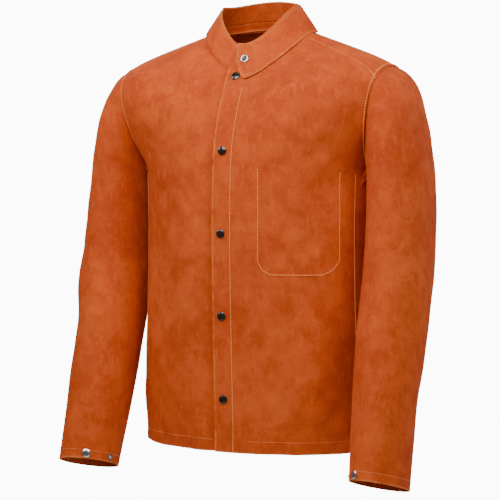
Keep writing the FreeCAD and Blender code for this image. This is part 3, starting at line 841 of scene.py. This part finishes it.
SHOULDER_LINE = (0.97, 0.0, -0.243)
SHOULDER_BLEND = (0.2575, 0.2995)    # where the blend along that line starts and ends, m


def shoulder_bend(side):
    down = unit(np.array(SHOULDER_LINE)) * flip(side)
    return ("torso", side + "_upper_sleeve", *(tuple(down * d) for d in SHOULDER_BLEND))


def elbow_bend(side):
    """Blend across the elbow, along the arm, that leaves the ring of the sleeve cut still."""
    ring, last = (sleeve(np.linspace(0, 2 * math.pi, 73), q) for q in (SLEEVE_CUT, 7.0))
    along = unit(last.mean(axis=0) - ring.mean(axis=0))
    start = ring.mean(axis=0)
    start = start + along * (np.max((ring - start) @ along) + 1.0)
    places = (tuple(p * flip(side) * MM) for p in (start, last.mean(axis=0)))
    return (side + "_upper_sleeve", side + "_lower_sleeve", *places)


def make_sleeves():
    for side in SIDES:
        upper, lower = side + "_upper_sleeve", side + "_lower_sleeve"
        hide_piece(upper, sleeve_grid(-0.06, SLEEVE_CUT, (170, 110), side), bend=shoulder_bend(side),
                   wrap=True)
        hide_piece(lower, sleeve_grid(SLEEVE_CUT, CUFF, (170, 130), side), bend=elbow_bend(side),
                   wrap=True, free=("v1",))
        hem = sleeve_grid(cuff_rise(CUFF_HEM), CUFF - 0.005, (150, 8), side, PLY)
        hide_piece(side + "_cuff_hem", hem, lower, wrap=True)


# ---- stitching --------------------------------------------------------------------------
STITCH, PITCH, THREAD_RADIUS = 3.9, 4.4, 1.15
HEM_THREAD, CUFF_THREAD, COLLAR_THREAD = 0.36, 0.42, 0.4     # radii of the finer threads
HEM_ROW_EDGE = -26.0
ARMHOLE_INSET, ARMHOLE_REACH = 5.0, 2.6      # from the seam, and how far each way round it, in radians


def along_line(points, normals):
    """Points spaced evenly along a line, with their tangents and normals."""
    steps = np.linalg.norm(np.diff(points, axis=0), axis=-1)
    length = np.concatenate([[0.0], np.cumsum(steps)])
    count = max(2, int(length[-1] / PITCH))
    at = (np.arange(count) + 0.5) * length[-1] / count

    def pick(values, where):
        return np.stack([np.interp(where, length, values[:, k]) for k in range(3)], -1)

    along = unit(pick(points, at + 0.6) - pick(points, at - 0.6))
    return pick(points, at), along, unit(pick(normals, at))


def stitches(name, rows, body=None, bend=None, radius=THREAD_RADIUS):
    """Rows of short thread loops lying on the leather, each dipping into it at both ends."""
    rings, sides = 6, 6
    verts, faces = [], []
    for points, normals in rows:
        for spot, along, up in zip(*along_line(points, normals)):
            across = np.cross(along, up)
            base = len(verts)
            for k in range(rings + 1):
                t = 2.0 * k / rings - 1.0
                swell = radius * math.sqrt(max(0.0, 1.0 - t**4)) if abs(t) < 1 else radius * 0.15
                middle = spot + along * (t * STITCH / 2) + up * (0.42 * radius - 0.75 * radius * t**4)
                for m in range(sides):
                    a = 2 * math.pi * m / sides
                    beside = across * (swell * math.cos(a))
                    verts.append(middle + beside + up * (0.8 * swell * math.sin(a)))
            for k in range(rings):
                for m in range(sides):
                    a, b = base + k * sides + m, base + k * sides + (m + 1) % sides
                    faces.append((a, b, b + sides, a + sides))
            faces.append([base + m for m in reversed(range(sides))])
            faces.append([base + rings * sides + m for m in range(sides)])
    obj = new_object(name, np.array(verts) * MM, faces)
    obj.data.materials.append(THREAD)
    keep_rest(obj)
    if bend:
        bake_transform(obj)
    else:
        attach(obj, body)


def hem_row(s, start, end, count):
    """A row round the torso at s, between two angles."""
    return torso_skin(mix(start, end, np.linspace(0.0, 1.0, count)), np.full(count, s))


def torso_row(edge, s0, s1):
    s = np.linspace(s0, s1, 260)
    return torso_skin(edge(s), s)


def drop_point(x, drop):
    """Torso parameters of a spot on the front, from its x and its drop below the neck."""
    s = s_at_drop(theta_at_x(x, np.full(np.shape(x), 0.6)), drop)
    s = s_at_drop(theta_at_x(x, s), drop)
    return theta_at_x(x, s), s


def pocket_row():
    """The pocket's seam on the outside of the front: down, across with cut corners, and up."""
    (x0, x1), (d0, d1), c = POCKET_X, POCKET_DROP, POCKET_CORNER
    x0, x1, d1 = x0 + 4, x1 - 4, d1 - 4
    path = np.array([(x0, d0), (x0, d1 - c), (x0 + c * 0.35, d1 - c * 0.35), (x0 + c, d1), (x1 - c, d1),
                     (x1 - c * 0.35, d1 - c * 0.35), (x1, d1 - c), (x1, d0 + 12)])
    steps = np.concatenate([[0.0], np.cumsum(np.linalg.norm(np.diff(path, axis=0), axis=-1))])
    at = np.linspace(0.0, steps[-1], 300)
    theta, s = drop_point(np.interp(at, steps, path[:, 0]), np.interp(at, steps, path[:, 1]))
    return torso_skin(theta, s)


def armhole_row(side):
    """A row on the body along the armhole."""
    angle = np.linspace(-ARMHOLE_REACH, ARMHOLE_REACH, 220)
    loop = ARM_CENTRE + (point(0.0, -np.sin(angle), 0 * angle) + np.cos(angle)[:, None] * ARM_UP) \
        * loop_radius(angle)[:, None]
    theta0 = np.arctan2(loop[:, 0] / CHEST_RADII[0], -loop[:, 1] / CHEST_RADII[1])
    s0 = np.clip(-loop[:, 2] / CHEST_DROP, 0.02, 1.0) * UPPER_SHARE
    theta, s = nearest_on_torso(loop - ARM_OUT * ARMHOLE_INSET, theta0, s0)
    return on_side(side, *torso_skin(theta, s))


def nearest_on_torso(target, theta, s, steps=40):
    """Torso parameters nearest to each target point, by damped least squares."""
    for _ in range(steps):
        here = torso(theta, s)
        a = (torso(theta + 1e-3, s) - torso(theta - 1e-3, s)) / 2e-3
        b = (torso(theta, s + 1e-3) - torso(theta, s - 1e-3)) / 2e-3
        gap = target - here
        aa, bb, ab = (a * a).sum(-1) + 1e-3, (b * b).sum(-1) + 1e-3, (a * b).sum(-1)
        ga, gb = (a * gap).sum(-1), (b * gap).sum(-1)
        det = np.maximum(aa * bb - ab * ab, 1e-3)
        theta = theta + 0.7 * np.clip((ga * bb - gb * ab) / det, -0.2, 0.2)
        s = np.clip(s + 0.7 * np.clip((gb * aa - ga * ab) / det, -0.05, 0.05), 0.0, 1.0)
    return theta, s


def make_stitches():
    stitches("placket_stitches", [torso_row(along_bowed(PLACKET_STITCH), 0.11, 0.998)], bend=PLACKET_BEND)
    stitches("pocket_stitches", [pocket_row()], "torso")
    seams = [torso_row(along_angle(d), 0.43, 0.995) for d in (SIDE_SEAM - 1.5, 1.5 - SIDE_SEAM)]
    stitches("side_seam_stitches", seams, "torso")
    stitches("armhole_stitches", [armhole_row(side) for side in SIDES], "torso")
    hem = float(s_at_drop(0.0, LENGTH - HEM_DEPTH + 3))
    placket, edge = (float(theta_at_x(x, hem)) for x in (PLACKET_HINGE + 1.5, HEM_ROW_EDGE))
    back = hem_row(hem, math.radians(SIDE_SEAM + 1), math.radians(359 - SIDE_SEAM), 400)
    left = hem_row(hem, placket, math.radians(SIDE_SEAM - 1), 160)
    right = hem_row(hem, math.radians(1 - SIDE_SEAM), edge, 160)
    stitches("hem_stitches", [back, left, right], "torso", radius=HEM_THREAD)
    q = cuff_rise(CUFF_HEM - 2)
    for side in SIDES:
        angle = np.linspace(0, 2 * math.pi, 300)
        row = on_side(side, *sleeve_skin(angle, np.full(300, q)))
        stitches(side + "_cuff_stitches", [row], side + "_lower_sleeve", radius=CUFF_THREAD)
    make_collar_stitches()


def make_collar_stitches():
    """Rows a few millimetres inside the collar's edges."""
    def row(path, front_lap=LEFT_FRONT_LAP, under=0.0):
        theta, v = (np.array(c, float) for c in zip(*path))
        return collar_skin(theta, v, front_lap, under)

    t = np.linspace(0.0, 1.0, 120)
    top, low = 0.93, 0.09
    end = [(float(collar_angle(collar_end_x(v) + 5.0, v)), v) for v in mix(low, top, t)]
    front_low = [(a, low) for a in mix(end[0][0], COLLAR_SPLIT, t)]
    front_top = [(a, top) for a in mix(end[-1][0], COLLAR_SPLIT, t)]
    stitches("collar_end_stitches", [row(end), row(front_low), row(front_top)], bend=COLLAR_BEND,
             radius=COLLAR_THREAD)
    left = [row([(a, v) for a in mix(COLLAR_SPLIT, math.pi, t)]) for v in (low, top)]
    edge = [float(collar_angle(RIGHT_EDGE, v)) for v in (low, top)]
    right = row([(a, top) for a in mix(-math.pi, edge[1], t)], RIGHT_FRONT_LAP, COLLAR_UNDER)
    stitches("collar_stitches", left + [right], "torso", radius=COLLAR_THREAD)


# ---- snaps ------------------------------------------------------------------------------
CAP_PROFILE = [(0.0, 2.9), (1.6, 2.86), (3.2, 2.72), (4.7, 2.46), (5.8, 2.12), (6.5, 1.78), (6.9, 1.60),
               (7.2, 1.52), (7.5, 1.32), (7.6, 1.02), (7.55, 0.7), (7.3, 0.42), (6.9, 0.2), (6.4, 0.0),
               (0.0, 0.0)]
RING_PROFILE = [(3.9, 0.9), (4.1, 1.5), (4.6, 2.1), (5.3, 2.55), (6.1, 2.6), (6.8, 2.25), (7.3, 1.65),
                (7.6, 1.0), (7.4, 0.4), (6.9, 0.1), (6.4, 0.0), (3.9, 0.0)]
RECESS_PROFILE = [(0.0, 0.9), (1.3, 0.95), (1.8, 1.35), (2.4, 1.35), (2.8, 0.9), (4.0, 0.8), (4.0, 0.2),
                  (0.0, 0.2)]


def lathe(profile, base, out, sides=56):
    """Vertices and faces of a turned shape standing on base, along out."""
    across = unit(np.cross(out, np.array([0.0, 0.0, 1.0])))
    up = np.cross(across, out)
    verts, faces, rows = [], [], []
    for r, h in profile:
        start = len(verts)
        turns = sides if r > 0 else 1
        for k in range(turns):
            a = 2 * math.pi * k / sides
            verts.append(base + out * h + across * (r * math.cos(a)) + up * (r * math.sin(a)))
        rows.append((start, turns))
    for (a, na), (b, nb) in zip(rows, rows[1:]):
        for k in range(sides):
            one = [a + (k % na), a + ((k + 1) % na), b + ((k + 1) % nb), b + (k % nb)]
            face = [i for n, i in enumerate(one) if i not in one[:n]]
            if len(face) > 2:
                faces.append(face)
    return verts, faces


def snaps(name, frames, parts, body):
    """Turned snap caps at the given (point, out) frames; parts are (profile, material).

    They stand for the node of the same name."""
    verts, faces, kinds = [], [], []
    for base, out in frames:
        for kind, (profile, _) in enumerate(parts):
            v, f = lathe(profile, base, out)
            faces += [[i + len(verts) for i in face] for face in f]
            kinds += [kind] * len(f)
            verts += v
    obj = new_object(name, np.array(verts) * MM, faces)
    for _, material in parts:
        obj.data.materials.append(material)
    obj.data.polygons.foreach_set("material_index", kinds)
    bm = bmesh.new()
    bm.from_mesh(obj.data)
    bmesh.ops.recalc_face_normals(bm, faces=bm.faces)
    bm.to_mesh(obj.data)
    bm.free()
    obj.data.set_sharp_from_angle(angle=math.radians(42))
    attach(obj, body)
    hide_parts(name)


def front_frame(drop):
    _, s = drop_point(np.array(SNAP_LINE), np.array(drop))
    theta = theta_at_x(SNAP_LINE + bow(s), s)
    n = torso_normal(theta, s)
    return torso(theta, s) + n * 0.35, n


def make_snaps():
    frames = [front_frame(d) for d in SNAP_DROPS]
    black = [(CAP_PROFILE, BLACK)]
    snaps("top_snap_caps", frames[:FIXED_SNAPS], black, "torso")
    snaps("front_snap_caps", frames[FIXED_SNAPS:], black, "left_placket")
    v = np.array(COLLAR_SNAP[1])
    theta = collar_angle(COLLAR_SNAP[0], v)
    n = collar_normal(theta, v)
    # the ring's hollow centre gets the dark metal, painted shade for the hole
    ring = [(RING_PROFILE, SILVER), (RECESS_PROFILE, RECESS_SHADE_METAL)]
    snaps("collar_snap_cap", [(collar(theta, v) + n * 1.75, n)], ring, "collar_end")
    q = np.array(cuff_rise(CUFF_SNAP_RISE))
    for side in SIDES:
        angle = np.array(math.radians(CUFF_CAP_ANGLE))
        base, n = on_side(side, sleeve(angle, q), sleeve_normal(angle, q))
        snaps(side + "_cuff_snap_cap", [(base + n * 0.35, n)], [(CAP_PROFILE, SILVER)],
              side + "_lower_sleeve")


def finish_metal():
    """The snap parts that are kept as they come get the plated finish."""
    for name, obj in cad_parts.items():
        if "snap" in name and not obj.hide_render:
            for slot in obj.material_slots:
                slot.material = SILVER
            if not obj.material_slots:
                obj.data.materials.append(SILVER)


# ---- room, light and camera -------------------------------------------------------------
WORLD_LIGHT, WORLD_SEEN = 0.11, 14.0
FLOOR_RADIUS, FLOOR_HEIGHT = 1.5, -1.48


def plain(name, value, rough):
    n = Nodes(name)
    where = n.add("ShaderNodeTexCoord").outputs["Object"]
    grain = n.noise(where, 14.0, 3.0)
    light = colour(value, value, value * 0.99)
    tint = n.blend(n.ramp(grain, 0.2, 0.8, 0.0, 0.03), light, colour(0, 0, 0))
    return n.done({"Base Color": tint, "Roughness": rough})


def make_stage():
    turns = np.linspace(0.0, 2 * math.pi, 97)[:-1]
    disc = FLOOR_RADIUS * np.stack([np.cos(turns), np.sin(turns), 0 * turns], -1)
    disc[:, 2] = FLOOR_HEIGHT
    floor = new_object("floor", disc, [list(range(len(disc)))], smooth=False)
    floor.data.materials.append(plain("pale_floor", 0.94, 0.8))
    world = bpy.data.worlds.new("studio")
    bpy.context.scene.world = world
    world.use_nodes = True
    nodes, links = world.node_tree.nodes, world.node_tree.links
    soft = nodes["Background"]
    soft.inputs["Color"].default_value = colour(1.0, 0.98, 0.96)
    soft.inputs["Strength"].default_value = WORLD_LIGHT
    seen = nodes.new("ShaderNodeBackground")
    seen.inputs["Strength"].default_value = WORLD_SEEN
    path, join = nodes.new("ShaderNodeLightPath"), nodes.new("ShaderNodeMixShader")
    links.new(path.outputs["Is Camera Ray"], join.inputs["Fac"])
    links.new(soft.outputs[0], join.inputs[1])
    links.new(seen.outputs[0], join.inputs[2])
    links.new(join.outputs[0], nodes["World Output"].inputs["Surface"])


def add_light(name, place, target, energy, size, tint=(1.0, 1.0, 1.0)):
    data = bpy.data.lights.new(name, "AREA")
    data.energy = energy
    data.shape = "RECTANGLE"
    data.size, data.size_y = size
    data.color = tint
    obj = bpy.data.objects.new(name, data)
    bpy.context.scene.collection.objects.link(obj)
    obj.location = place
    obj.rotation_euler = (Vector(target) - Vector(place)).to_track_quat("-Z", "Y").to_euler()


def make_lights():
    aim = (0.0, 0.0, -0.35)
    chest = (0.0, -0.1, -0.15)
    add_light("key", (0.0, -1.15, 0.65), chest, 21, (1.0, 0.8), (1.0, 0.98, 0.95))
    add_light("fill_left", (-1.8, -1.1, 0.9), chest, 18, (1.2, 1.2))
    add_light("fill_right", (2.0, -1.0, 0.9), chest, 26, (1.2, 1.2))
    add_light("top", (0.1, 0.0, 1.6), chest, 4, (1.2, 1.2))
    add_light("back_left", (1.6, 1.7, 0.9), aim, 30, (1.3, 1.3))
    add_light("back_right", (-1.6, 1.7, 0.9), aim, 30, (1.3, 1.3))


def make_camera():
    azimuth, elevation, distance = math.radians(23.8), math.radians(3.1), 3.186
    target = Vector((0.0, 0.0, -0.35))
    back = Vector((math.sin(azimuth) * math.cos(elevation), -math.cos(azimuth) * math.cos(elevation),
                   math.sin(elevation)))
    data = bpy.data.cameras.new("camera")
    data.lens, data.sensor_width = 130.6, 36.0
    data.shift_x, data.shift_y = -0.0226, -0.0324
    data.clip_start, data.clip_end = 0.05, 100.0
    obj = bpy.data.objects.new("camera", data)
    bpy.context.scene.collection.objects.link(obj)
    obj.location = target + back * distance
    obj.rotation_euler = (-back).to_track_quat("-Z", "Y").to_euler()
    bpy.context.scene.camera = obj


make_torso()
make_pocket()
make_collar()
make_sleeves()
make_stitches()
make_snaps()
finish_metal()
make_stage()
make_lights()
make_camera()
